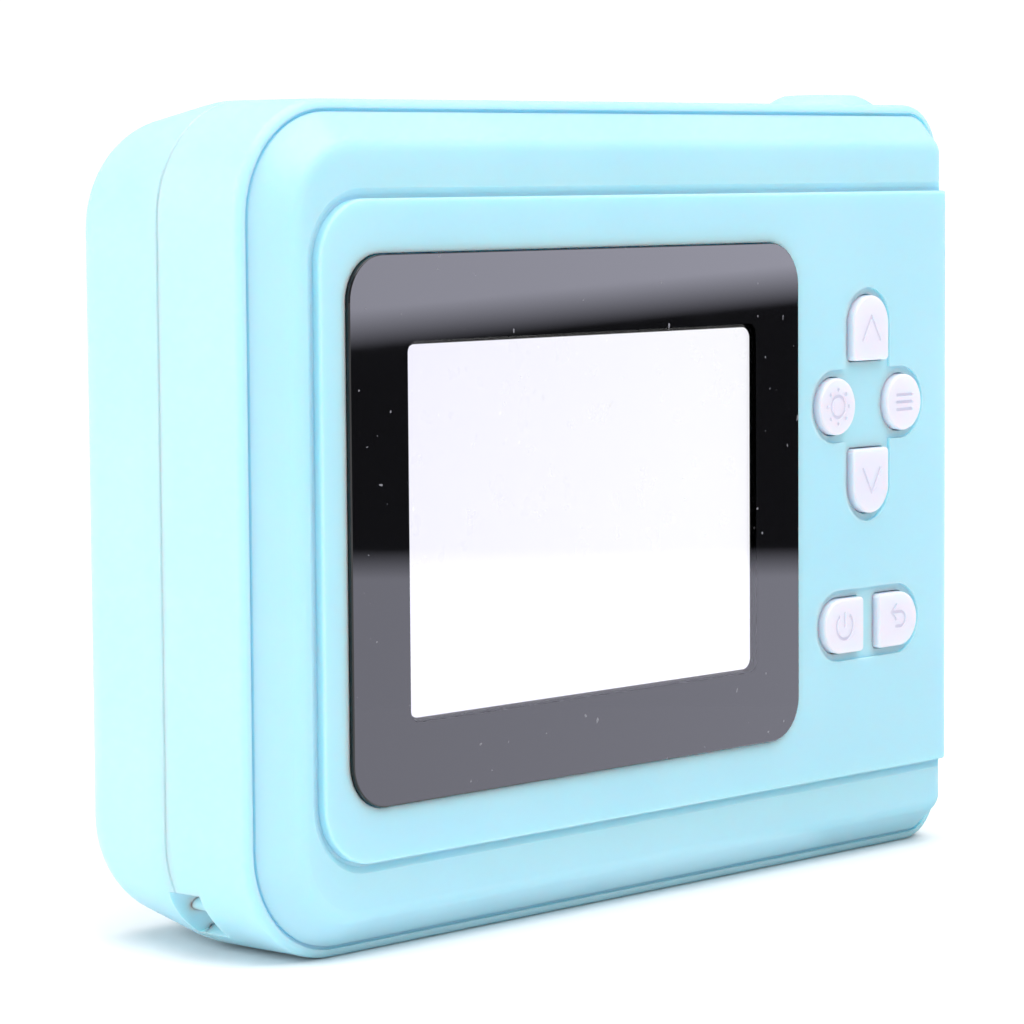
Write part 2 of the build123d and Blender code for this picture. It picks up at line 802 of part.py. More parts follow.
# ---------------------------------------------------------------- main board and its chips
with BuildPart() as main_board:
    with BuildSketch(at_depth(board_front)):
        with Locations(((board_left + board_right) / 2, (board_bottom + board_top) / 2)):
            RectangleRounded(board_right - board_left, board_top - board_bottom, board_corner)
        with Locations(*board_screw_places):
            Circle(small_screw_radius + screw_gap, mode=Mode.SUBTRACT)
    extrude(amount=board_thickness)
finish(main_board, "main_board")

for chip_name, (x, z, width, height, thickness) in chips.items():
    block(chip_name, x, z, width, height, board_front, board_front + thickness)

# ---------------------------------------------------------------- sockets
port_mouth = recess_x - port_floor - switch_gap
usb_middle = board_front + usb_height / 2
with BuildPart() as usb_socket:
    with BuildSketch(Plane.YZ.offset(port_mouth)):
        with Locations((panel_y + usb_middle, usb_z)):
            SlotOverall(usb_width, usb_height, rotation=90)
    extrude(amount=-usb_length)
    with BuildSketch(Plane.YZ.offset(port_mouth)):
        with Locations((panel_y + usb_middle, usb_z)):
            SlotOverall(usb_width - 2 * usb_wall, usb_height - 2 * usb_wall, rotation=90)
    extrude(amount=-(usb_length - usb_back_wall), mode=Mode.SUBTRACT)
    with BuildSketch(Plane.YZ.offset(port_mouth - usb_length + usb_back_wall)):
        with Locations((panel_y + usb_middle, usb_z)):
            Rectangle(usb_tongue_thickness, usb_width - usb_height)
    extrude(amount=usb_length - 2 * usb_back_wall)
finish(usb_socket, "usb_socket")

with BuildPart() as card_socket:
    card_middle = board_front + card_socket_height / 2
    with BuildSketch(Plane.YZ.offset(port_mouth)):
        with Locations((panel_y + card_middle, card_z)):
            Rectangle(card_socket_height, card_socket_width)
    extrude(amount=-card_socket_length)
    with BuildSketch(Plane.YZ.offset(port_mouth)):
        with Locations((panel_y + card_middle, card_z)):
            Rectangle(card_slot_height, card_slot_width)
    extrude(amount=-(card_socket_length - usb_back_wall), mode=Mode.SUBTRACT)
finish(card_socket, "card_socket")

# ---------------------------------------------------------------- keys, their plungers and switches
for key_name, *place in key_places:
    shape, x, z, turn, start, end, width = place
    stem_x, stem_z = key_centre(shape, x, z, turn, start, end)
    flange_rear = rear_wall + key_rest_gap
    flange_front = flange_rear + key_flange_thickness
    with BuildPart() as key:
        with BuildSketch(at_depth(flange_rear)):
            add(key_outline(*place, grow=0))
        extrude(amount=flange_rear + key_proud)
        fillet(key.faces().sort_by(Axis.Y)[0].edges(), radius=key_edge_round)
        with BuildSketch(at_depth(mark_depth - key_proud)):
            with Locations((stem_x, stem_z)):
                add(key_mark(key_name))
        extrude(amount=mark_depth, mode=Mode.SUBTRACT)
        with BuildSketch(at_depth(flange_front)):
            add(key_outline(*place, grow=key_flange))
        extrude(amount=key_flange_thickness)
        with BuildSketch(at_depth(plunger_tip)):
            with Locations((stem_x, stem_z)):
                Circle(plunger_radius)
        extrude(amount=plunger_tip - flange_front)
    finish(key, f"{key_name}_key")
    with BuildPart() as plunger:
        with BuildSketch(at_depth(plunger_tip + plunger_stand + plunger_insert)):
            with Locations((stem_x, stem_z)):
                Circle(plunger_radius)
        extrude(amount=plunger_stand + plunger_insert)
    finish(plunger, f"{key_name}_plunger")
    with BuildPart() as switch:
        with BuildSketch(at_depth(board_depth)):
            with Locations((stem_x, stem_z)):
                Rectangle(switch_size, switch_size)
        extrude(amount=switch_height)
        chamfer(switch.edges().filter_by(Axis.Y), length=switch_corner)
        with BuildSketch(at_depth(board_depth - switch_height + plunger_insert + key_travel + switch_spare)):
            with Locations((stem_x, stem_z)):
                Circle(plunger_radius + plunger_gap)
        extrude(amount=plunger_insert + key_travel + switch_spare, mode=Mode.SUBTRACT)
    finish(switch, f"{key_name}_switch")

# ---------------------------------------------------------------- shutter button, plunger and switch
stem_depth = board_front + shutter_switch_thickness / 2
tab_top = inner_top_z - key_rest_gap
tab_bottom = tab_top - shutter_tab_thickness
cap_top = body_height + shutter_proud
switch_top = board_top - shutter_switch_inset
shutter_plunger_tip = switch_top + plunger_stand
with BuildPart() as shutter_button:
    with BuildSketch(Plane((shutter_x, panel_y + shutter_depth, 0), x_dir=(1, 0, 0), z_dir=(0, -1, 0))):
        with BuildLine():
            rim = (shutter_radius, cap_top - shutter_crown_drop)
            crown = (shutter_crown_radius, cap_top - shutter_dish)
            shoulder = ((rim[0] + 2 * crown[0]) / 3 + shutter_dish, cap_top - shutter_crown_drop / 3)
            Line((0, tab_bottom), (0, cap_top))
            ThreePointArc((0, cap_top), (shutter_crown_radius / 2, cap_top - shutter_dish / 4), crown)
            ThreePointArc(crown, shoulder, rim)
            Polyline(rim, (shutter_radius, tab_bottom), (0, tab_bottom))
        make_face()
    revolve(axis=Axis((shutter_x, panel_y + shutter_depth, 0), (0, 0, 1)))
    with BuildSketch(Plane.XY.offset(tab_bottom)):
        with Locations((shutter_x, panel_y + shutter_depth)):
            Rectangle(2 * shutter_tab_half_length, shutter_tab_width)
    extrude(amount=shutter_tab_thickness)
    with BuildSketch(Plane.XY.offset(shutter_plunger_tip)):
        with Locations((shutter_x, panel_y + stem_depth)):
            Circle(shutter_stem_radius)
    extrude(amount=tab_bottom - shutter_plunger_tip)
finish(shutter_button, "shutter_button")

with BuildPart() as shutter_plunger:
    with BuildSketch(Plane.XY.offset(switch_top - plunger_insert)):
        with Locations((shutter_x, panel_y + stem_depth)):
            Circle(plunger_radius)
    extrude(amount=plunger_insert + plunger_stand)
finish(shutter_plunger, "shutter_plunger")

with BuildPart() as shutter_switch:
    with BuildSketch(Plane.XY.offset(switch_top - shutter_switch_height)):
        with Locations((shutter_x, panel_y + stem_depth)):
            Rectangle(shutter_switch_length, shutter_switch_thickness)
    extrude(amount=shutter_switch_height)
    chamfer(shutter_switch.edges().filter_by(Axis.Z), length=switch_corner)
    with BuildSketch(Plane.XY.offset(switch_top)):
        with Locations((shutter_x, panel_y + stem_depth)):
            Circle(plunger_radius + plunger_gap)
    extrude(amount=-(plunger_insert + key_travel + switch_spare), mode=Mode.SUBTRACT)
finish(shutter_switch, "shutter_switch")

# ---------------------------------------------------------------- lens group
with BuildPart() as lens_ring:
    with BuildSketch(at_depth(body_depth + ring_proud)):
        with Locations((lens_x, lens_z)):
            Circle(ring_radius)
    extrude(amount=ring_proud + ring_seat_depth)
    fillet(lens_ring.edges().sort_by(Axis.Y)[-1], radius=ring_edge_round)
    with BuildSketch(at_depth(ring_seat)):
        with Locations((lens_x, lens_z)):
            Circle(sleeve_radius)
    extrude(amount=ring_seat - front_inner_depth)
    with BuildSketch(at_depth(body_depth + ring_proud)):
        with Locations((lens_x, lens_z)):
            Circle(sleeve_radius - sleeve_wall)
    extrude(amount=ring_proud + front_wall, mode=Mode.SUBTRACT)
    with BuildSketch(at_depth(cover_back + cover_thickness)):
        with Locations((lens_x, lens_z)):
            Circle(cover_radius + press_gap)
    extrude(amount=cover_thickness, mode=Mode.SUBTRACT)
    with BuildSketch(at_depth(cover_back + cover_thickness)):
        with Locations((lens_x, lens_z)):
            Circle(cover_radius + press_gap)
    with BuildSketch(at_depth(body_depth + ring_proud)):
        with Locations((lens_x, lens_z)):
            Circle(cover_radius + ring_flare)
    loft(mode=Mode.SUBTRACT)
finish(lens_ring, "lens_ring")

with BuildPart() as lens_cover:
    with BuildSketch(at_depth(cover_back + cover_thickness)):
        with Locations((lens_x, lens_z)):
            Circle(cover_radius)
    extrude(amount=cover_thickness)
    fillet(lens_cover.edges().sort_by(Axis.Y)[-1], radius=window_edge_round)
finish(lens_cover, "lens_cover")

sensor_front = holder_rear + sensor_thickness
barrel_front = sensor_front + barrel_length
with BuildPart() as lens_holder:
    with BuildSketch(at_depth(front_inner_depth - press_gap)):
        with Locations((lens_x, lens_z)):
            Circle(sleeve_radius)
    extrude(amount=holder_length - press_gap)
    with BuildSketch(at_depth(sensor_front)):
        with Locations((lens_x, lens_z)):
            Rectangle(sensor_size + 2 * press_gap, sensor_size + 2 * press_gap)
    extrude(amount=sensor_thickness, mode=Mode.SUBTRACT)
    with BuildSketch(at_depth(front_inner_depth)):
        with Locations((lens_x, lens_z)):
            Circle(barrel_radius + press_gap)
    extrude(amount=holder_length, mode=Mode.SUBTRACT)
    with BuildSketch(at_depth(front_inner_depth - press_gap - holder_dish)):
        with Locations((lens_x, lens_z)):
            Circle(barrel_radius + holder_dish_gap)
    with BuildSketch(at_depth(front_inner_depth - press_gap)):
        with Locations((lens_x, lens_z)):
            Circle(sleeve_radius - sleeve_wall)
    loft(mode=Mode.SUBTRACT)
finish(lens_holder, "lens_holder")

block("camera_sensor", lens_x, lens_z, sensor_size, sensor_size, holder_rear, sensor_front)

with BuildPart() as lens_barrel:
    with BuildSketch(at_depth(barrel_front)):
        with Locations((lens_x, lens_z)):
            Circle(barrel_radius)
    extrude(amount=barrel_length)
    fillet(lens_barrel.edges().sort_by(Axis.Y)[-1], radius=window_edge_round)
    with BuildSketch(at_depth(barrel_front)):
        with Locations((lens_x, lens_z)):
            Circle(element_radius)
    extrude(amount=element_depth, mode=Mode.SUBTRACT)
finish(lens_barrel, "lens_barrel")

with BuildPart() as lens_element:
    with BuildSketch(at_depth(barrel_front - element_bulge)):
        with Locations((lens_x, lens_z)):
            Circle(element_radius)
    extrude(amount=element_depth - element_bulge)
    fillet(lens_element.edges().sort_by(Axis.Y)[-1], radius=element_bulge)
finish(lens_element, "lens_element")

# ---------------------------------------------------------------- flash, speaker and microphone
with BuildPart() as flash_lens:
    with BuildSketch(at_depth(body_depth)):
        with Locations((flash_x, flash_z)):
            Circle(flash_radius)
    extrude(amount=front_wall)
    with BuildSketch(at_depth(front_inner_depth)):
        with Locations((flash_x, flash_z)):
            Circle(flash_radius + flash_flange)
    extrude(amount=flash_flange_thickness)
    fillet(flash_lens.edges().sort_by(Axis.Y)[-1], radius=window_edge_round)
finish(flash_lens, "flash_lens")

led_front = front_inner_depth - flash_flange_thickness
block("flash_led", flash_x, flash_z, led_size, led_size, led_front - led_thickness, led_front)

speaker_front = front_inner_depth - press_gap
with BuildPart() as speaker:
    with BuildSketch(at_depth(speaker_front)):
        with Locations((speaker_x, speaker_z)):
            Circle(speaker_radius)
    extrude(amount=speaker_basket)
    with BuildSketch(at_depth(speaker_front - speaker_basket)):
        with Locations((speaker_x, speaker_z)):
            Circle(speaker_magnet_radius)
    extrude(amount=speaker_thickness - speaker_basket)
    fillet(speaker.edges().sort_by(Axis.Y)[0], radius=window_edge_round)
finish(speaker, "speaker")

microphone_front = front_inner_depth - press_gap
with BuildPart() as microphone:
    with BuildSketch(at_depth(microphone_front)):
        with Locations((microphone_x, microphone_z)):
            Circle(microphone_radius)
    extrude(amount=microphone_length)
finish(microphone, "microphone")

# ---------------------------------------------------------------- battery
battery_front = front_inner_depth - pad_thickness
battery_rear = battery_front - battery_thickness
with BuildPart() as battery_cell:
    with BuildSketch(at_depth(battery_front)):
        with Locations((battery_x, battery_z)):
            Rectangle(battery_length, battery_height)
    extrude(amount=battery_thickness)
    fillet(battery_cell.edges().filter_by(Axis.X), radius=battery_round)
finish(battery_cell, "battery_cell")

with BuildPart() as battery_pad:
    with BuildSketch(at_depth(front_inner_depth)):
        with Locations((battery_x, battery_z)):
            Rectangle(battery_length - 4 * battery_round, battery_height - 4 * battery_round)
    extrude(amount=pad_thickness)
finish(battery_pad, "battery_pad")

connector_x = battery_x + battery_length / 2 + connector_reach
block("battery_connector", connector_x, battery_z, connector_length, connector_width,
      board_front, board_front + connector_height)


def leads(name, start_x, start_depth, end_x, end_depth, z, along=False):
    """Two insulated leads, one above the other, led in smooth bends from a component to the board."""
    with BuildPart() as pair:
        for side in (-1, 1):
            height = z + side * lead_pitch / 2
            half = (start_depth + end_depth) / 2
            if along:
                route = [(start_x, start_depth), ((start_x + end_x) / 2, start_depth), (end_x, half)]
            else:
                route = [(start_x, start_depth), (start_x, half + lead_bend), (end_x, half - lead_bend)]
            route.append((end_x, end_depth))
            with BuildLine() as path:
                FilletPolyline(*[(x, panel_y + depth, height) for x, depth in route], radius=lead_bend)
            with BuildSketch(Plane(origin=path.line @ 0, z_dir=path.line % 0)):
                Circle(lead_radius)
            sweep()
    finish(pair, name)


leads("battery_leads", battery_x + battery_length / 2, (battery_rear + battery_front) / 2,
      connector_x, board_front + connector_height, battery_z, along=True)
leads("speaker_leads", speaker_x, speaker_front - speaker_thickness, speaker_x - lead_step,
      board_front, speaker_z)
leads("flash_leads", flash_x, led_front - led_thickness, flash_x + lead_step, board_front, flash_z)
leads("microphone_leads", microphone_x, microphone_front - microphone_length, microphone_x - lead_step,
      board_front, microphone_z)

# ---------------------------------------------------------------- flexes
ribbon("display_flex", flex_width, window_x,
       [(screen_back, middle_z), (screen_back + flex_loop, middle_z),
        (screen_back + flex_loop, middle_z - flex_drop), (board_depth, middle_z - flex_drop)], flex_bend)
ribbon("sensor_flex", sensor_flex_width, lens_x,
       [(holder_rear, lens_z), (holder_rear - flex_loop, lens_z),
        (holder_rear - flex_loop, lens_z + flex_drop), (board_front, lens_z + flex_drop)], flex_bend)

# ---------------------------------------------------------------- port cover
plate_front = parting_depth - cover_gap
with BuildPart() as port_cover:
    with BuildSketch(Plane.XY.offset(port_bottom + hinge_end_gap)):
        with Locations((right_wall_x - cover_plate / 2, panel_y + (hinge_depth + plate_front) / 2)):
            Rectangle(cover_plate, plate_front - hinge_depth)
        with Locations((hinge_x, panel_y + hinge_depth)):
            Circle(hinge_radius)
    extrude(amount=port_height - 2 * hinge_end_gap)
    # Nail groove along the free edge
    with BuildSketch(Plane.YZ.offset(right_wall_x - nail_groove_depth)):
        with Locations((panel_y + plate_front - nail_groove_width, port_middle_z)):
            SlotOverall(nail_groove_length, nail_groove_width, rotation=90)
    extrude(amount=nail_groove_depth, mode=Mode.SUBTRACT)
    with BuildSketch(Plane.XY.offset(port_bottom - stub_length)):
        with Locations((hinge_x, panel_y + hinge_depth)):
            Circle(stub_radius)
    extrude(amount=port_height + 2 * stub_length)
finish(port_cover, "port_cover")


# ---------------------------------------------------------------- screws
def screws(name, places, seat, length, radius, head_radius, head_height):
    """One node of like screws with cross-slotted heads towards the front."""
    with BuildPart() as group:
        with BuildSketch(at_depth(seat)):
            with Locations(*places):
                Circle(radius)
        extrude(amount=length)
        with BuildSketch(at_depth(seat + head_height)):
            with Locations(*places):
                Circle(head_radius)
        extrude(amount=head_height)
        with BuildSketch(at_depth(seat + head_height)):
            with Locations(*places):
                Rectangle(slot_length_share * head_radius, slot_share * head_radius)
                Rectangle(slot_share * head_radius, slot_length_share * head_radius)
        extrude(amount=head_height / 2, mode=Mode.SUBTRACT)
    finish(group, name)


screws("case_screws", case_screw_places, screw_seat, screw_seat - parting_depth + case_screw_reach,
       screw_radius, screw_head_radius, screw_head_height)
screws("board_screws", board_screw_places, board_front, board_screw_length,
       small_screw_radius, small_head_radius, small_head_height)
screws("frame_screws", frame_screw_places, frame_back, frame_screw_length,
       small_screw_radius, small_head_radius, small_head_height)
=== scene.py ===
"""The look of a children's digital camera: pale blue moulded shells, a glossy screen window and sprung keys.

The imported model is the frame. Each section takes one piece, or a group of like pieces, in the order in
which the camera is put together.
"""

import math

import bpy
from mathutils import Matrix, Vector


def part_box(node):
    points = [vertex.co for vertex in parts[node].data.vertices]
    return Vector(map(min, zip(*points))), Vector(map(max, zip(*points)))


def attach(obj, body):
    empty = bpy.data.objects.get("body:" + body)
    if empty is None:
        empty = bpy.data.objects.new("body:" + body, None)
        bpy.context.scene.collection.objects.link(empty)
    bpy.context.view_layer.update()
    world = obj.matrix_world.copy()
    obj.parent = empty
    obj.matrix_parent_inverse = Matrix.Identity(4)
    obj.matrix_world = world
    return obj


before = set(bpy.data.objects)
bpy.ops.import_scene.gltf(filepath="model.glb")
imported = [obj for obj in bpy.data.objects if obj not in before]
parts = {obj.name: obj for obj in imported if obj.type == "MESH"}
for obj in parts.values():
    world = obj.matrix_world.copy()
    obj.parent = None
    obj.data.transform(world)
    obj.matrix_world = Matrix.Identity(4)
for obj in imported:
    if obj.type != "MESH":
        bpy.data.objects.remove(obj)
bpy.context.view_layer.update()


# ---------------------------------------------------------------- main board
# Glass-fibre board with a green solder mask over copper tracks. It is routed to shape and
# screwed to posts in the rear shell.
board_green = (0.006, 0.085, 0.038)
board_track_green = (0.012, 0.15, 0.062)
board_track_pitch = 0.0016
board_track_width = 0.09
board_track_run = 3.5
board_track_patch = 0.012
board_track_height = 0.00004


def linear(red, green, blue):
    """An 8-bit display colour as the linear colour that shaders take."""
    def channel(value):
        share = value / 255
        return share / 12.92 if share <= 0.04045 else ((share + 0.055) / 1.055) ** 2.4
    return channel(red), channel(green), channel(blue)


class Finish:
    """One procedural finish: a Principled shader and the nodes that vary it over a piece."""

    def __init__(self, name, colour, roughness, metal=0.0, coat=0.0):
        self.material = bpy.data.materials.new(name)
        self.material.use_nodes = True
        self.nodes = self.material.node_tree.nodes
        self.shader = self.nodes["Principled BSDF"]
        self.set("Base Color", (*colour, 1))
        self.set("Roughness", roughness)
        self.set("Metallic", metal)
        self.set("Coat Weight", coat)
        self.place = self.add("ShaderNodeTexCoord").outputs["Object"]
        self.height = None

    def add(self, kind, **inputs):
        """Add a node. Sockets and plain values go in by input name, with _ for a space."""
        node = self.nodes.new(kind)
        for key, value in inputs.items():
            self.feed(node.inputs[key.replace("_", " ")], value)
        return node

    def feed(self, socket, value):
        """Link a socket, or set its value."""
        if isinstance(value, bpy.types.NodeSocket):
            self.material.node_tree.links.new(value, socket)
        else:
            socket.default_value = value

    def set(self, socket, value):
        """Set or link one input of the shader."""
        self.feed(self.shader.inputs[socket], value)

    def math(self, operation, first, second=0.5, third=0.5, clamp=False):
        """A Math node's result."""
        node = self.add("ShaderNodeMath")
        node.operation = operation
        node.use_clamp = clamp
        for socket, value in zip(node.inputs, (first, second, third)):
            self.feed(socket, value)
        return node.outputs[0]

    def noise(self, size, detail=2.0, stretch=(1, 1, 1)):
        """Noise from 0 to 1 whose blotches are about one size across, in metres."""
        place = self.place
        if stretch != (1, 1, 1):
            place = self.add("ShaderNodeMapping", Vector=place, Scale=stretch).outputs[0]
        return self.add("ShaderNodeTexNoise", Vector=place, Scale=1 / size, Detail=detail).outputs["Fac"]

    def between(self, share, low, high, start=0.0, end=1.0):
        """A number that goes from low to high as share goes from start to end."""
        node = self.add("ShaderNodeMapRange", Value=share)
        for key, value in (("From Min", start), ("From Max", end), ("To Min", low), ("To Max", high)):
            self.feed(node.inputs[key], value)
        return node.outputs[0]

    def mix(self, share, first, second):
        """A colour between two colours."""
        node = self.nodes.new("ShaderNodeMix")
        node.data_type = "RGBA"
        self.feed(node.inputs["Factor"], share)
        for key, colour in (("A", first), ("B", second)):
            socket = [s for s in node.inputs if s.name == key and s.type == "RGBA"][0]
            self.feed(socket, colour if isinstance(colour, bpy.types.NodeSocket) else (*colour, 1))
        return [s for s in node.outputs if s.type == "RGBA"][0]

    def bump(self, share, height, strength=1.0):
        """Raise the surface by share times a height in metres, on top of any earlier bump."""
        node = self.add("ShaderNodeBump", Height=share, Distance=height, Strength=strength)
        if self.height:
            self.feed(node.inputs["Normal"], self.height)
        self.height = node.outputs[0]
        self.set("Normal", self.height)

    def dress(self, *names):
        """Give the finish to moulded or made parts by name."""
        for name in names:
            parts[name].material_slots[0].material = self.material


board = Finish("solder_mask", board_green, 0.35)
board_place = board.add("ShaderNodeSeparateXYZ", Vector=board.place)
plan = board.add("ShaderNodeCombineXYZ", X=board_place.outputs["X"], Y=board_place.outputs["Z"])
tracks = board.add("ShaderNodeTexBrick", Vector=plan.outputs[0], Scale=1 / board_track_pitch,
                   Mortar_Size=board_track_width, Brick_Width=board_track_run, Row_Height=0.5)
tracks.offset = 0.5
routed = board.between(board.noise(board_track_patch), 0, 1, 0.45, 0.5)
track = board.math("MULTIPLY", tracks.outputs["Fac"], routed)
board.set("Base Color", board.mix(track, board_green, board_track_green))
board.set("Roughness", board.between(board.noise(0.002), 0.28, 0.42))
board.bump(track, board_track_height)
board.dress("main_board")


# ---------------------------------------------------------------- small parts on the board
# Chip resistors and capacitors stand in rows between the chips, soldered by their silvered ends.
# Each is a pressed ceramic block, so one rounded block is repeated along each row.
resistor_size = (0.0016, 0.0008, 0.00045)
resistor_corner = 0.00008
cap_size = (0.00032, 0.00084, 0.00049)
cap_corner = 0.0001
resistor_rows = [
    ((-0.033, 0.062), (0.0022, 0), 5),
    ((-0.033, 0.058), (0.0022, 0), 4),
    ((-0.0035, 0.066), (0.0024, 0), 5),
    ((-0.0125, 0.0625), (0.0024, 0), 4),
    ((0.0255, 0.0385), (0, -0.0022), 3),
    ((0.0145, 0.0385), (0, -0.0020), 6),
    ((-0.036, 0.046), (0, -0.0022), 5),
]


def start_tree(name, sizes):
    """A node tree whose named inputs are a mesh, its sizes and a finish."""
    tree = bpy.data.node_groups.new(name, "GeometryNodeTree")
    tree.interface.new_socket("Geometry", in_out="INPUT", socket_type="NodeSocketGeometry")
    for size in sizes:
        tree.interface.new_socket(size, in_out="INPUT", socket_type="NodeSocketFloat")
    tree.interface.new_socket("Finish", in_out="INPUT", socket_type="NodeSocketMaterial")
    tree.interface.new_socket("Geometry", in_out="OUTPUT", socket_type="NodeSocketGeometry")
    return tree, tree.nodes.new("NodeGroupInput").outputs


def end_tree(tree, given, built):
    """Make what is built real, give it the finish and send it out."""
    real = tree.nodes.new("GeometryNodeRealizeInstances")
    finish = tree.nodes.new("GeometryNodeSetMaterial")
    out = tree.nodes.new("NodeGroupOutput")
    tree.links.new(built, real.inputs[0])
    tree.links.new(real.outputs[0], finish.inputs["Geometry"])
    tree.links.new(given["Finish"], finish.inputs["Material"])
    tree.links.new(finish.outputs[0], out.inputs["Geometry"])
    return tree


def block_tree(name):
    """A tree that stands one rounded block on every point, facing the lens side."""
    tree, given = start_tree(name, ("Width", "Length", "Thickness", "Corner"))
    outline = tree.nodes.new("GeometryNodeCurvePrimitiveQuadrilateral")
    rounded = tree.nodes.new("GeometryNodeFilletCurve")
    rounded.mode = "POLY"
    rounded.inputs["Count"].default_value = 2
    top = tree.nodes.new("ShaderNodeCombineXYZ")
    rise = tree.nodes.new("GeometryNodeCurvePrimitiveLine")
    pressed = tree.nodes.new("GeometryNodeCurveToMesh")
    pressed.inputs["Fill Caps"].default_value = True
    stand = tree.nodes.new("GeometryNodeInstanceOnPoints")
    stand.inputs["Rotation"].default_value = facing_lens
    join = tree.links.new
    join(given["Width"], outline.inputs["Width"])
    join(given["Length"], outline.inputs["Height"])
    join(outline.outputs[0], rounded.inputs["Curve"])
    join(given["Corner"], rounded.inputs["Radius"])
    join(given["Thickness"], top.inputs["Z"])
    join(top.outputs[0], rise.inputs["End"])
    join(rise.outputs[0], pressed.inputs["Curve"])
    join(rounded.outputs[0], pressed.inputs["Profile Curve"])
    join(given["Geometry"], stand.inputs["Points"])
    join(pressed.outputs[0], stand.inputs["Instance"])
    return end_tree(tree, given, stand.outputs[0])


def settle(name, source, tree, sizes, finish):
    """Run a tree on a mesh with its sizes, and keep the result as one plain mesh fixed in the case."""
    maker = bpy.data.objects.new(name + "_maker", source)
    bpy.context.scene.collection.objects.link(maker)
    modifier = maker.modifiers.new(tree.name, "NODES")
    modifier.node_group = tree
    sockets = {item.name: item.identifier for item in tree.interface.items_tree if item.in_out == "INPUT"}
    for size, value in sizes.items():
        modifier[sockets[size]] = value
    modifier[sockets["Finish"]] = finish.material
    bpy.context.view_layer.update()
    graph = bpy.context.evaluated_depsgraph_get()
    mesh = bpy.data.meshes.new_from_object(maker.evaluated_get(graph))
    mesh.name = name
    bpy.data.objects.remove(maker)
    piece = bpy.data.objects.new(name, mesh)
    bpy.context.scene.collection.objects.link(piece)
    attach(piece, "case")


def points(name, places):
    """A mesh of loose points."""
    mesh = bpy.data.meshes.new(name)
    mesh.from_pydata(places, [], [])
    return mesh


def blocks(name, places, size, corner, finish):
    """A piece made of one rounded block repeated at places."""
    sizes = {"Width": size[0], "Length": size[1], "Thickness": size[2], "Corner": corner}
    settle(name, points(name, places), rounded_block, sizes, finish)


def centre(node):
    """The middle of a moulded or made part's box."""
    low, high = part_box(node)
    return (low.x + high.x) / 2, (low.y + high.y) / 2, (low.z + high.z) / 2


facing_lens = (-math.pi / 2, 0, 0)
rounded_block = block_tree("rounded_block")
board_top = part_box("main_board")[1].y
resistor_places = [
    (start[0] + step[0] * i, board_top, start[1] + step[1] * i)
    for start, step, count in resistor_rows
    for i in range(count)
]
cap_reach = (resistor_size[0] - cap_size[0]) / 2
cap_places = [(x + side * cap_reach, y, z) for x, y, z in resistor_places for side in (-1, 1)]
ceramic = Finish("resistor_ceramic", linear(40, 34, 30), 0.45)
ceramic.set("Base Color", ceramic.mix(ceramic.noise(0.0006), linear(34, 29, 27), linear(92, 70, 48)))
ceramic.bump(ceramic.noise(0.00012), 0.00001)
solder = Finish("solder", linear(196, 198, 202), 0.28, metal=1.0)
solder.set("Roughness", solder.between(solder.noise(0.0002), 0.2, 0.45))
solder.bump(solder.noise(0.0003), 0.00002)
blocks("chip_resistors", resistor_places, resistor_size, resistor_corner, ceramic)
blocks("resistor_ends", cap_places, cap_size, cap_corner, solder)

# ---------------------------------------------------------------- chips and their legs
# Black moulded epoxy packages, soldered to the board. The processor stands on a row of formed legs
# along each of its four sides.
leg_pitch = 0.0008
leg_size = (0.0003, 0.0011, 0.00035)
leg_corner = 0.00006
leg_tuck = 0.0002
leg_free_edge = 0.002
epoxy = Finish("chip_epoxy", linear(38, 38, 41), 0.55)
epoxy.set("Base Color", epoxy.mix(epoxy.noise(0.004), linear(33, 33, 36), linear(46, 46, 49)))
epoxy.set("Roughness", epoxy.between(epoxy.noise(0.0008, 3), 0.45, 0.68))
epoxy.bump(epoxy.noise(0.00015), 0.00001)
epoxy.dress("processor_chip", "memory_chip", "power_chip", "microphone")
chip_low, chip_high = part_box("processor_chip")
chip_x, _, chip_z = centre("processor_chip")
leg_reach = leg_size[1] / 2 - leg_tuck
leg_count = int((chip_high.x - chip_low.x - leg_free_edge) / leg_pitch) + 1
leg_start = -(leg_count - 1) / 2 * leg_pitch
upright_legs = [
    (chip_x + leg_start + leg_pitch * i, board_top, side)
    for side in (chip_low.z - leg_reach, chip_high.z + leg_reach)
    for i in range(leg_count)
]
sideways_legs = [
    (side, board_top, chip_z + leg_start + leg_pitch * i)
    for side in (chip_low.x - leg_reach, chip_high.x + leg_reach)
    for i in range(leg_count)
]
sideways_size = (leg_size[1], leg_size[0], leg_size[2])
blocks("chip_legs", upright_legs, leg_size, leg_corner, solder)
blocks("chip_side_legs", sideways_legs, sideways_size, leg_corner, solder)

# ---------------------------------------------------------------- switches, sockets and screws
# Black moulded tact switches with their plungers and stamped steel sockets for the cable and the card,
# all soldered to the board, and nickel-plated cross-slotted screws.
key_names = ("up", "down", "left", "right", "power", "back")
black_moulding = Finish("black_moulding", linear(30, 30, 32), 0.5)
black_moulding.set("Base Color", black_moulding.mix(black_moulding.noise(0.003), linear(26, 26, 28),
                                                    linear(38, 38, 41)))
black_moulding.set("Roughness", black_moulding.between(black_moulding.noise(0.0012, 3), 0.4, 0.62))
black_moulding.bump(black_moulding.noise(0.0002), 0.000012)
black_moulding.dress(*(f"{key}_switch" for key in key_names), *(f"{key}_plunger" for key in key_names),
                     "shutter_switch", "shutter_plunger")
stamped = Finish("stamped_steel", linear(190, 191, 194), 0.3, metal=1.0)
rolling = stamped.noise(0.0004, 2, stretch=(1, 1, 12))
stamped.set("Roughness", stamped.between(rolling, 0.22, 0.42))
stamped.set("Base Color", stamped.mix(stamped.noise(0.004), linear(176, 177, 181), linear(202, 203, 205)))
stamped.bump(rolling, 0.000006)
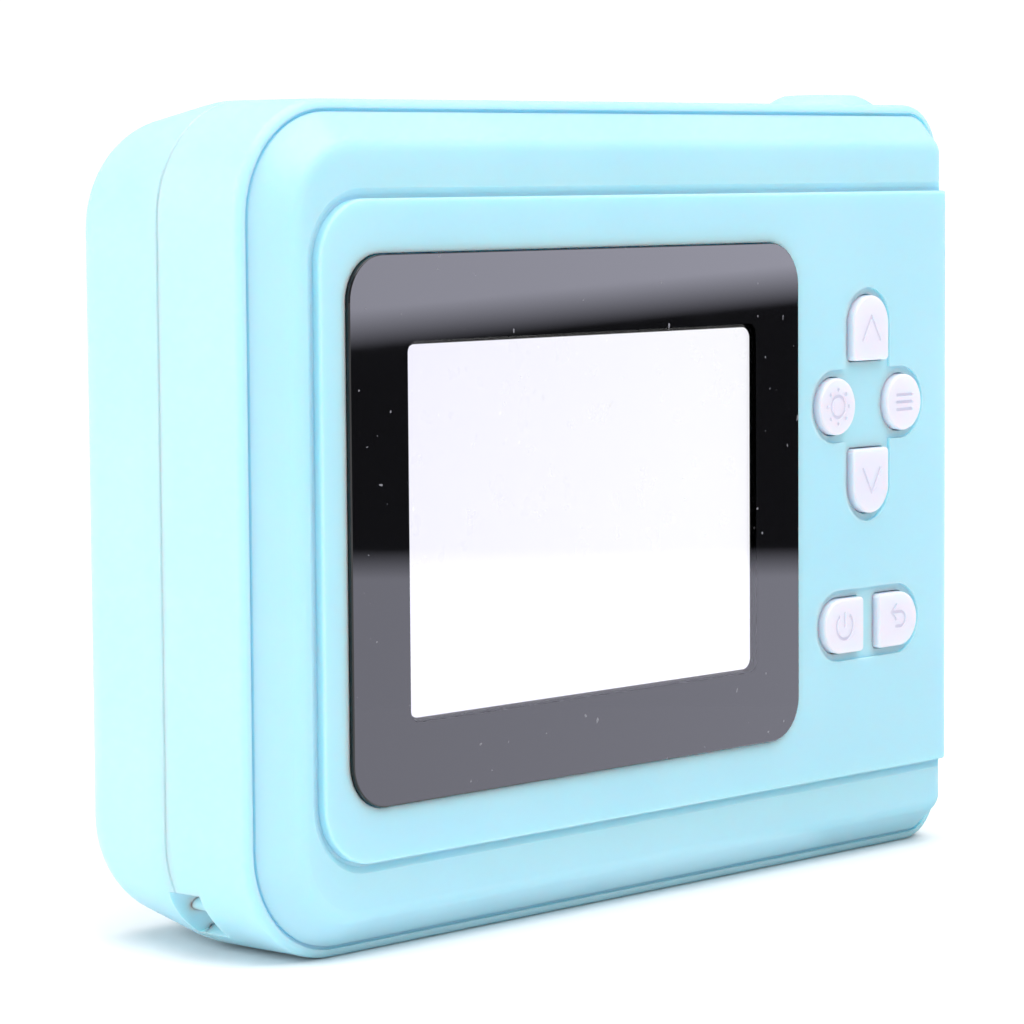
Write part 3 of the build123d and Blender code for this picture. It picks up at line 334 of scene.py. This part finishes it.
stamped.dress("usb_socket", "card_socket")
plated = Finish("nickel_plate", linear(168, 166, 160), 0.25, metal=1.0)
plated.set("Roughness", plated.between(plated.noise(0.0007, 3), 0.18, 0.4))
plated.set("Base Color", plated.mix(plated.noise(0.002), linear(150, 148, 143), linear(184, 182, 176)))
plated.bump(plated.noise(0.0003), 0.000008)
plated.dress("board_screws", "frame_screws", "case_screws")

# ---------------------------------------------------------------- socket contacts
# Gold-plated strips of springy bronze. Five lie on the cable socket's tongue, and eight stand in the
# card slot where the card's own contacts slide over them.
cable_contact_size = (0.0032, 0.0004, 0.00006)
cable_contact_corner = 0.00008
cable_contact_pitch = 0.0009
cable_contact_inset = 0.0030
tongue_half_thickness = 0.00035
card_contact_size = (0.0040, 0.0005, 0.00015)
card_contact_corner = 0.0001
card_contact_pitch = 0.0011
card_contact_inset = 0.006
card_contact_count = 8
card_slot_half_height = 0.0005
gold = Finish("contact_gold", linear(222, 178, 92), 0.2, metal=1.0)
gold.set("Roughness", gold.between(gold.noise(0.0004), 0.15, 0.32))
gold.set("Base Color", gold.mix(gold.noise(0.0015), linear(208, 160, 80), linear(232, 192, 110)))
_, usb_y, usb_z = centre("usb_socket")
usb_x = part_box("usb_socket")[1].x - cable_contact_inset
tongue_contacts = [(usb_x, usb_y + tongue_half_thickness, usb_z + cable_contact_pitch * i)
                   for i in range(-2, 3)]
blocks("cable_contacts", tongue_contacts, cable_contact_size, cable_contact_corner, gold)
_, card_y, card_z = centre("card_socket")
card_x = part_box("card_socket")[1].x - card_contact_inset
card_contacts = [(card_x, card_y - card_slot_half_height,
                  card_z + card_contact_pitch * (i - (card_contact_count - 1) / 2))
                 for i in range(card_contact_count)]
blocks("card_contacts", card_contacts, card_contact_size, card_contact_corner, gold)

# ---------------------------------------------------------------- battery, leads and flexes
# A laminated foil cell on a foam pad, plugged in by a nylon connector. Pairs of sleeved leads run to the
# loose parts, one red and one black, and amber flexes run to the screen and the lens.
foil = Finish("battery_foil", linear(176, 180, 188), 0.35, metal=0.9)
creases = foil.noise(0.006, 4, stretch=(0.6, 1, 1.4))
foil.set("Roughness", foil.between(creases, 0.28, 0.5))
foil.set("Base Color", foil.mix(foil.noise(0.015), linear(164, 168, 177), linear(190, 194, 201)))
foil.bump(creases, 0.00025, 0.6)
foil.dress("battery_cell")
foam = Finish("foam_tape", linear(40, 40, 42), 0.9)
foam.set("Base Color", foam.mix(foam.noise(0.0004), linear(28, 28, 30), linear(58, 58, 60)))
foam.bump(foam.noise(0.0003, 4), 0.00008)
foam.dress("battery_pad", "window_adhesive")
nylon = Finish("natural_nylon", linear(228, 226, 216), 0.45)
nylon.set("Base Color", nylon.mix(nylon.noise(0.008), linear(220, 217, 205), linear(233, 231, 223)))
nylon.set("Roughness", nylon.between(nylon.noise(0.002, 3), 0.38, 0.55))
nylon.bump(nylon.noise(0.0003), 0.000012)
nylon.dress("display_frame", "battery_connector")
for leads in ("battery_leads", "speaker_leads", "flash_leads", "microphone_leads"):
    sleeve = Finish(leads + "_sleeve", linear(180, 20, 18), 0.4)
    height = sleeve.add("ShaderNodeSeparateXYZ", Vector=sleeve.place).outputs["Z"]
    upper = sleeve.math("GREATER_THAN", height, centre(leads)[2])
    sleeve.set("Base Color", sleeve.mix(upper, linear(28, 28, 30), linear(176, 24, 22)))
    sleeve.set("Roughness", sleeve.between(sleeve.noise(0.001, 3), 0.32, 0.5))
    sleeve.bump(sleeve.noise(0.0006), 0.00002)
    sleeve.dress(leads)
copper_line_scale = 260.0
copper_line_height = 0.00002
film = Finish("amber_film", linear(176, 108, 34), 0.25)
copper_lines = film.add("ShaderNodeTexWave", Vector=film.place, Scale=copper_line_scale, Distortion=0.0)
copper_lines.bands_direction = "X"
film.set("Base Color", film.mix(film.between(copper_lines.outputs["Fac"], 0, 1, 0.45, 0.55),
                                linear(150, 84, 24), linear(198, 130, 52)))
film.set("Roughness", film.between(film.noise(0.002), 0.2, 0.34))
film.bump(copper_lines.outputs["Fac"], copper_line_height)
film.dress("display_flex", "sensor_flex")

# ---------------------------------------------------------------- speaker
# A paper cone with pressed rings in a black basket, behind the grille. A fine woven gauze lies between
# the speaker's rim and the shell, and keeps crumbs out.
cone_ring_rate = 9000.0
cone_ring_height = 0.00006


def from_axis(finish, x, z):
    """How far a point of a finish lies from an axis that runs from the screen to the lens."""
    moved = finish.add("ShaderNodeMapping", Vector=finish.place, Location=(-x, 0, -z), Scale=(1, 0, 1))
    distance = finish.add("ShaderNodeVectorMath", Vector=moved.outputs[0])
    distance.operation = "LENGTH"
    return distance.outputs["Value"]


speaker_x, _, speaker_z = centre("speaker")
cone = Finish("speaker_cone", linear(44, 44, 46), 0.6)
rings = cone.math("SINE", cone.math("MULTIPLY", from_axis(cone, speaker_x, speaker_z), cone_ring_rate))
cone.set("Base Color", cone.mix(cone.noise(0.0008, 4), linear(36, 36, 38), linear(58, 57, 57)))
cone.set("Roughness", cone.between(cone.noise(0.0015), 0.5, 0.75))
cone.bump(rings, cone_ring_height)
cone.dress("speaker")

gauze_radius = 0.0094
gauze_pitch = 0.00042
gauze_wire = 0.00003
gauze_clearance = 0.00004
gauze_count = int(2 * gauze_radius / gauze_pitch)
gauze_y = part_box("speaker")[1].y + gauze_clearance
black_wire = Finish("gauze_wire", linear(32, 32, 34), 0.5)
black_wire.set("Roughness", black_wire.between(black_wire.noise(0.001), 0.4, 0.6))


def gauze_tree(name):
    """A tree that draws a round wire along every edge of a mesh."""
    tree, given = start_tree(name, ("Wire Radius",))
    line = tree.nodes.new("GeometryNodeMeshToCurve")
    profile = tree.nodes.new("GeometryNodeCurvePrimitiveCircle")
    profile.inputs["Resolution"].default_value = 5
    wire = tree.nodes.new("GeometryNodeCurveToMesh")
    wire.inputs["Fill Caps"].default_value = True
    join = tree.links.new
    join(given["Geometry"], line.inputs[0])
    join(given["Wire Radius"], profile.inputs["Radius"])
    join(line.outputs[0], wire.inputs["Curve"])
    join(profile.outputs[0], wire.inputs["Profile Curve"])
    return end_tree(tree, given, wire.outputs[0])


gauze_ends = []
for i in range(gauze_count):
    across = (i - (gauze_count - 1) / 2) * gauze_pitch
    reach = math.sqrt(gauze_radius ** 2 - across ** 2)
    gauze_ends += [(speaker_x + across, gauze_y - gauze_wire / 2, speaker_z - reach),
                   (speaker_x + across, gauze_y - gauze_wire / 2, speaker_z + reach),
                   (speaker_x - reach, gauze_y + gauze_wire / 2, speaker_z + across),
                   (speaker_x + reach, gauze_y + gauze_wire / 2, speaker_z + across)]
gauze_lines = bpy.data.meshes.new("speaker_gauze")
gauze_lines.from_pydata(gauze_ends, [(i, i + 1) for i in range(0, len(gauze_ends), 2)], [])
settle("speaker_gauze", gauze_lines, gauze_tree("strung_wires"), {"Wire Radius": gauze_wire}, black_wire)

# ---------------------------------------------------------------- lens and flash
# A coated glass element in a black barrel, behind a hard clear cover that is pressed into a glossy
# ring. The flash is a yellow phosphor lamp behind a clear lens with fine moulded ridges.
lamp_radius = 0.0019
lamp_edge = 0.00005
flash_ridges = {"Turns": 9.0, "Start Radius": 0.0004, "End Radius": 0.0031, "Rise": 0.0, "Ridge": 0.00008}
step_rings = {"Turns": 5.0, "Start Radius": 0.0042, "End Radius": 0.0072, "Rise": 0.00115, "Ridge": 0.00016}
step_ring_depth = 0.00138
lens_black = Finish("lens_black", linear(16, 16, 18), 0.55)
lens_black.set("Base Color", lens_black.mix(lens_black.noise(0.002), linear(13, 13, 15), linear(22, 22, 25)))
lens_black.set("Roughness", lens_black.between(lens_black.noise(0.0008), 0.45, 0.65))
lens_black.bump(lens_black.noise(0.0002), 0.000008)
lens_black.dress("lens_holder", "lens_barrel", "camera_sensor")
coated = Finish("coated_glass", (0.93, 0.95, 1.0), 0.01)
coated.set("Transmission Weight", 1.0)
coated.set("IOR", 1.6)
coated.set("Specular Tint", (0.55, 0.5, 1.0, 1))
coated.bump(coated.noise(0.004), 0.000002)
coated.dress("lens_element")
clear_plastic = Finish("clear_plastic", (0.96, 0.98, 1.0), 0.02)
clear_plastic.set("Transmission Weight", 1.0)
clear_plastic.set("IOR", 1.49)
clear_plastic.set("Roughness", clear_plastic.between(clear_plastic.noise(0.006, 3), 0.0, 0.05, 0.4, 0.75))
clear_plastic.dress("lens_cover", "flash_lens")
for clear_piece in ("lens_element", "lens_cover", "flash_lens"):
    parts[clear_piece].visible_shadow = False
phosphor = Finish("lamp_phosphor", linear(238, 205, 60), 0.5)
flash_x, _, flash_z = centre("flash_led")
lamp_rim = phosphor.between(from_axis(phosphor, flash_x, flash_z), 0, 1,
                            lamp_radius - lamp_edge, lamp_radius + lamp_edge)
phosphor.set("Base Color", phosphor.mix(lamp_rim, linear(240, 208, 66), linear(236, 236, 232)))
phosphor.set("Roughness", phosphor.between(phosphor.noise(0.0008), 0.35, 0.6))
phosphor.bump(phosphor.noise(0.0002), 0.00001)
phosphor.dress("flash_led")
ring_gloss = Finish("ring_gloss", linear(232, 230, 243), 0.16, coat=0.4)
ring_gloss.set("Base Color", ring_gloss.mix(ring_gloss.noise(0.012), linear(228, 226, 240),
                                            linear(235, 233, 245)))
ring_gloss.set("Roughness", ring_gloss.between(ring_gloss.noise(0.004, 4), 0.12, 0.24))
ring_gloss.bump(ring_gloss.noise(0.003), 0.000004)
ring_gloss.dress("lens_ring")


def coil_tree(name):
    """A tree for close moulded rings: a spiral of fine round ridges between two radii, with a rise."""
    tree, given = start_tree(name, ("Turns", "Start Radius", "End Radius", "Rise", "Ridge"))
    spiral = tree.nodes.new("GeometryNodeCurveSpiral")
    spiral.inputs["Resolution"].default_value = 48
    ridge = tree.nodes.new("GeometryNodeCurvePrimitiveCircle")
    ridge.inputs["Resolution"].default_value = 6
    sweep = tree.nodes.new("GeometryNodeCurveToMesh")
    sweep.inputs["Fill Caps"].default_value = True
    stand = tree.nodes.new("GeometryNodeInstanceOnPoints")
    stand.inputs["Rotation"].default_value = facing_lens
    join = tree.links.new
    join(given["Turns"], spiral.inputs["Rotations"])
    join(given["Start Radius"], spiral.inputs["Start Radius"])
    join(given["End Radius"], spiral.inputs["End Radius"])
    join(given["Rise"], spiral.inputs["Height"])
    join(given["Ridge"], ridge.inputs["Radius"])
    join(spiral.outputs[0], sweep.inputs["Curve"])
    join(ridge.outputs[0], sweep.inputs["Profile Curve"])
    join(given["Geometry"], stand.inputs["Points"])
    join(sweep.outputs[0], stand.inputs["Instance"])
    return end_tree(tree, given, stand.outputs[0])


close_rings = coil_tree("close_rings")
lens_x, _, lens_z = centre("lens_barrel")
flash_face = points("flash_ridges", [(flash_x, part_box("flash_lens")[1].y, flash_z)])
settle("flash_ridges", flash_face, close_rings, flash_ridges, clear_plastic)
step_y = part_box("lens_holder")[1].y - step_ring_depth
settle("lens_step_rings", points("lens_step_rings", [(lens_x, step_y, lens_z)]), close_rings, step_rings,
       lens_black)

# ---------------------------------------------------------------- front and rear shells
# Two satin ABS mouldings in pale blue with a fine spark-eroded grain. They meet on a tongue at the parting
# line round the side and are held by four screws from the lens side. The shutter button, the port cover
# and the lanyard post are moulded in the same plastic.
shell_colour = linear(178, 223, 239)
shell_deep_colour = linear(174, 221, 238)


def moulded(name, colour, deep_colour, roughness, grain_size, grain_height):
    """Satin moulded plastic: a fine grain, faint flow marks and rougher patches where it is handled."""
    plastic = Finish(name, colour, roughness)
    flow = plastic.between(plastic.noise(0.03), 0, 1, 0.35, 0.65)
    plastic.tone = plastic.mix(flow, deep_colour, colour)
    plastic.set("Base Color", plastic.tone)
    handled = plastic.noise(0.014, 3)
    plastic.set("Roughness", plastic.between(handled, roughness - 0.05, roughness + 0.07, 0.3, 0.7))
    plastic.bump(plastic.noise(grain_size, 1), grain_height, 0.35)
    plastic.set("Subsurface Weight", 1.0)
    plastic.set("Subsurface Radius", (0.45, 1.0, 1.1))
    plastic.set("Subsurface Scale", 0.0022)
    return plastic


shell = moulded("shell_abs", shell_colour, shell_deep_colour, 0.42, 0.00045, 0.000012)
shell.dress("front_shell", "rear_shell", "lanyard_post", "port_cover", "shutter_button")

# ---------------------------------------------------------------- keys
# Six lavender-white ABS keys that stand a little proud of the panel. Their marks are engraved in the
# mould and filled with a greyer tint; a flange inside holds each one against its switch.
key_colour = linear(231, 229, 243)
key_tint = linear(214, 212, 229)
key_deep_colour = linear(226, 224, 240)
mark_depth = 0.0001
key_plastic = moulded("key_abs", key_colour, key_deep_colour, 0.38, 0.0004, 0.000008)
mark_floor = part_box("up_key")[0].y + mark_depth
key_depth = key_plastic.add("ShaderNodeSeparateXYZ", Vector=key_plastic.place).outputs["Y"]
off_floor = key_plastic.math("ABSOLUTE", key_plastic.math("SUBTRACT", key_depth, mark_floor))
in_mark = key_plastic.between(off_floor, 1, 0, 0.00001, 0.00002)
key_plastic.set("Base Color", key_plastic.mix(in_mark, key_plastic.tone, key_tint))
key_plastic.dress(*(f"{key}_key" for key in key_names))

# ---------------------------------------------------------------- display
# A liquid crystal panel under the window, lit from behind. Its lit field shows a plain pale picture with a
# painted brightening towards the right, and ends in the black printed border of the glass.
lit_width = 0.0534
lit_height = 0.0384
panel_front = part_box("display_panel")[0].y
panel_x, _, panel_z = centre("display_panel")
display = Finish("display_glass", (0.02, 0.02, 0.022), 0.3)
display_place = display.add("ShaderNodeSeparateXYZ", Vector=display.place)
off_x = display.math("ABSOLUTE", display.math("SUBTRACT", display_place.outputs["X"], panel_x))
off_z = display.math("ABSOLUTE", display.math("SUBTRACT", display_place.outputs["Z"], panel_z))
past_field = display.math("MAXIMUM", display.math("SUBTRACT", off_x, lit_width / 2),
                          display.math("SUBTRACT", off_z, lit_height / 2))
front_layer = display.between(display_place.outputs["Y"], 1, 0, panel_front + 0.0001, panel_front + 0.0003)
lit = display.math("MULTIPLY", front_layer, display.between(past_field, 1, 0, -0.00005, 0.00005))
# The picture goes from lavender grey at the left to whiter towards the right. This is a painted brightening
# that stands for reflected light on the screen, on top of the panel's own backlight.
painted_brightening = display.between(display_place.outputs["X"], 0, 1, panel_x - lit_width / 2, panel_x + lit_width / 3)
picture = display.mix(painted_brightening, linear(239, 238, 252), linear(247, 247, 252))
display.set("Base Color", display.mix(display.noise(0.004), (0.015, 0.015, 0.017), (0.022, 0.022, 0.025)))
display.set("Emission Color", display.mix(lit, (0, 0, 0), picture))
display.set("Emission Strength", 1.03)
display.set("Roughness", display.between(display.noise(0.003, 3), 0.22, 0.36))
display.bump(display.noise(0.0005), 0.000003)
display.dress("display_panel")

# ---------------------------------------------------------------- screen window
# A hard acrylic window, printed black behind but for the opening of the picture, and held in the panel
# by a frame of adhesive tape. Handling leaves faint smears and a few specks of dust on it.
picture_width = 0.0517
picture_height = 0.0362
picture_corner = 0.0012
print_spread = 0.00035
picture_shift = (0.0003, -0.0003)
print_black = (0.005, 0.005, 0.006)
dust_grey = (0.13, 0.13, 0.14)
window_low, window_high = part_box("display_window")
window_x, _, window_z = centre("display_window")
window = Finish("window_print", print_black, 0.03)
window_place = window.add("ShaderNodeSeparateXYZ", Vector=window.place)


def beyond(axis, middle, half):
    """How far a point lies past the start of the opening's corner on one axis."""
    across = window.math("ABSOLUTE", window.math("SUBTRACT", window_place.outputs[axis], middle))
    return window.math("SUBTRACT", across, half - picture_corner)


nearer_face = window.between(window_place.outputs["Y"], print_spread, 0,
                             window_low.y + 0.0003, window_high.y - 0.0003)
past_x = window.math("SUBTRACT", beyond("X", window_x + picture_shift[0], picture_width / 2), nearer_face)
past_z = window.math("SUBTRACT", beyond("Z", window_z + picture_shift[1], picture_height / 2), nearer_face)
clipped_x = window.math("MAXIMUM", past_x, 0)
clipped_z = window.math("MAXIMUM", past_z, 0)
corner_length = window.math("SQRT", window.math(
    "ADD", window.math("MULTIPLY", clipped_x, clipped_x), window.math("MULTIPLY", clipped_z, clipped_z)))
edge_distance = window.math("SUBTRACT", corner_length, picture_corner)
clear = window.between(edge_distance, 1, 0, -0.00002, 0.00002)
unprinted = window.between(edge_distance, 1, 0, -0.00006, -0.00002)
dust = window.between(window.noise(0.0006, 0), 0, 1, 0.855, 0.87)
window.set("Transmission Weight", clear)
window.set("Base Color", window.mix(unprinted, window.mix(dust, print_black, dust_grey), (1, 1, 1)))
smears = window.between(window.noise(0.011, 4), 0.02, 0.045, 0.4, 0.75)
window.set("Roughness", window.math("ADD", smears, window.math("MULTIPLY", dust, 0.4)))
window.set("IOR", 1.5)
window.dress("display_window")

# ---------------------------------------------------------------- studio
# White paper under and behind the camera, soft lamps to the left and in front, and an overcast sky above.
# Two white cards, seen only in the window's gloss, give it its pale and dark bands.
floor_reach = 3
floor_mesh = bpy.data.meshes.new("studio_floor")
floor_corners = [(-floor_reach, -floor_reach, 0), (floor_reach, -floor_reach, 0),
                 (floor_reach, floor_reach, 0), (-floor_reach, floor_reach, 0)]
floor_mesh.from_pydata(floor_corners, [], [(0, 1, 2, 3)])
floor = bpy.data.objects.new("studio_floor", floor_mesh)
bpy.context.scene.collection.objects.link(floor)
paper = Finish("floor_paper", (0.93, 0.93, 0.93), 0.9)
floor_mesh.materials.append(paper.material)


def lamp(name, place, width, height, power):
    """A soft rectangular lamp that is turned towards the camera's middle."""
    data = bpy.data.lights.new(name, "AREA")
    data.shape = "RECTANGLE"
    data.size = width
    data.size_y = height
    data.energy = power
    lamp_object = bpy.data.objects.new(name, data)
    bpy.context.scene.collection.objects.link(lamp_object)
    lamp_object.location = place
    lamp_object.rotation_euler = (lamp_aim - Vector(place)).to_track_quat("-Z", "Y").to_euler()


lamp_aim = Vector((0, 0, 0.04))
lamp("left_softbox", (-0.7, 0.36, 0.35), 0.6, 0.6, 3.7)
lamp("front_softbox", (0.05, -0.6, 0.75), 0.7, 0.5, 2.65)
overhead_data = bpy.data.lights.new("overhead_sky", "SUN")
overhead_data.energy = 2.55
overhead_data.angle = 1.2
overhead = bpy.data.objects.new("overhead_sky", overhead_data)
overhead.rotation_euler = (0.12, 0, 0)
bpy.context.scene.collection.objects.link(overhead)

world = bpy.data.worlds.new("studio_surround")
world.use_nodes = True
backdrop = world.node_tree.nodes["Background"]
backdrop.inputs["Color"].default_value = (1, 1, 1, 1)
seen = world.node_tree.nodes.new("ShaderNodeLightPath")
strength = world.node_tree.nodes.new("ShaderNodeMapRange")
strength.inputs["To Min"].default_value = 0.4
strength.inputs["To Max"].default_value = 1.1
world.node_tree.links.new(seen.outputs["Is Camera Ray"], strength.inputs["Value"])
world.node_tree.links.new(strength.outputs[0], backdrop.inputs["Strength"])
bpy.context.scene.world = world

window_only = bpy.data.collections.new("window_only")
window_only.objects.link(parts["display_window"])


def gloss_card(name, corners, pattern):
    """A flat card that only mirror-like reflections see."""
    mesh = bpy.data.meshes.new(name)
    mesh.from_pydata(corners, [], [(0, 1, 2, 3)])
    card = bpy.data.objects.new(name, mesh)
    bpy.context.scene.collection.objects.link(card)
    mesh.materials.append(pattern.material)
    card.visible_camera = False
    card.visible_diffuse = False
    card.visible_transmission = False
    card.visible_shadow = False
    card.visible_volume_scatter = False
    card.light_linking.receiver_collection = window_only


def on_card(out, along, height):
    """A point out from the window along the mirrored view, across it, and up."""
    return (window_x + out * mirrored_y + along * mirrored_x,
            window_low.y - out * mirrored_x + along * mirrored_y, height)


mirrored_x = 0.6691
mirrored_y = 0.7432
card_out = 0.16
card_near = 0.03
card_half = 0.07
card_top = 0.16
card_lift = 0.0002
card_colour = (0.84, 0.84, 1)
card_glow = 3.4
upper_glow = 5.8
upper_tilt = 0.097
strips = Finish("card_strips", (0, 0, 0), 1.0)
strips_place = strips.add("ShaderNodeSeparateXYZ", Vector=strips.place)
across = strips.math("ADD", strips.math("MULTIPLY", strips_place.outputs["X"], mirrored_x),
                     strips.math("MULTIPLY", strips_place.outputs["Y"], mirrored_y))
middle = on_card(card_out, 0, 0)
across = strips.math("SUBTRACT", across, middle[0] * mirrored_x + middle[1] * mirrored_y)
upper_edge = strips.math("SUBTRACT", strips_place.outputs["Z"], strips.math("MULTIPLY", across, upper_tilt))
upper = strips.between(upper_edge, 0, upper_glow, 0.0538, 0.0595)
lower = strips.between(strips_place.outputs["Z"], card_glow, 0, 0.0185, 0.0227)
strips.set("Emission Color", (*card_colour, 1))
strips.set("Emission Strength", strips.math("ADD", upper, lower))
strips.set("Specular IOR Level", 0)
gloss_card("upright_card", [on_card(card_out, -card_half, 0), on_card(card_out, card_half, 0),
                            on_card(card_out, card_half, card_top),
                            on_card(card_out, -card_half, card_top)], strips)
white_card = Finish("card_white", (0, 0, 0), 1.0)
white_card.set("Emission Color", (*card_colour, 1))
white_card.set("Emission Strength", card_glow)
gloss_card("table_card", [on_card(card_near, -card_half, card_lift), on_card(card_out, -card_half, card_lift),
                          on_card(card_out, card_half, card_lift),
                          on_card(card_near, card_half, card_lift)], white_card)

camera_data = bpy.data.cameras.new("studio_camera")
camera_data.lens = 141.77
camera_data.sensor_width = 36
camera_data.clip_start = 0.05
camera_data.clip_end = 20
camera = bpy.data.objects.new("studio_camera", camera_data)
camera.location = (-0.312189, -0.287007, 0.075390)
camera.rotation_euler = (1.48692153, 0.00747635, -0.82274452)
bpy.context.scene.collection.objects.link(camera)
bpy.context.scene.camera = camera
bpy.context.scene.view_settings.view_transform = "Standard"
